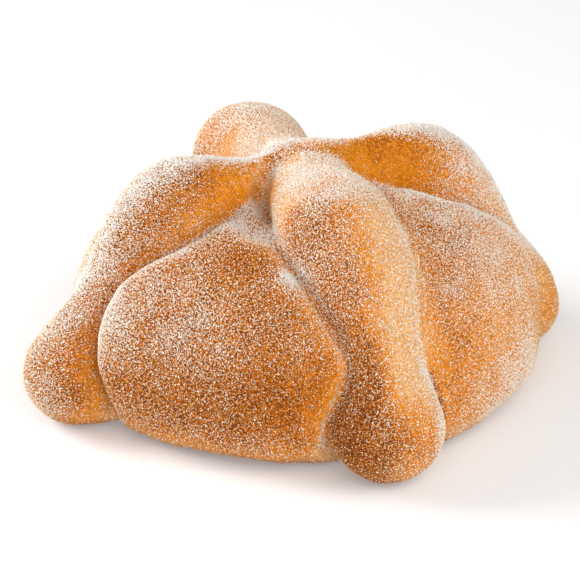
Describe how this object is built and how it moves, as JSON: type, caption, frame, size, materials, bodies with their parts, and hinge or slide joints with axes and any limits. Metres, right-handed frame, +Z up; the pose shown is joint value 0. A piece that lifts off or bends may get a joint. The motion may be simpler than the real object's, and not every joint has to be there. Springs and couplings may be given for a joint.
{
  "type": "pan de muerto",
  "caption": "Round sweet bun with crossed bone-shaped strips of dough over its dome, baked in one piece and dusted with sugar; rests on its flat underside.",
  "frame": {"origin": "on the flat underside, below the place where the two strips cross", "axes": "+Z up out of the dome, one strip along X and the other along Y, with -Y the side that faces the viewer"},
  "size_m": [0.13, 0.128, 0.0594],
  "materials": {
    "crust": "baked golden brown crust dusted with white granulated sugar"
  },
  "bodies": {
    "root": {"bread": "crust"}
  },
  "joints": []
}
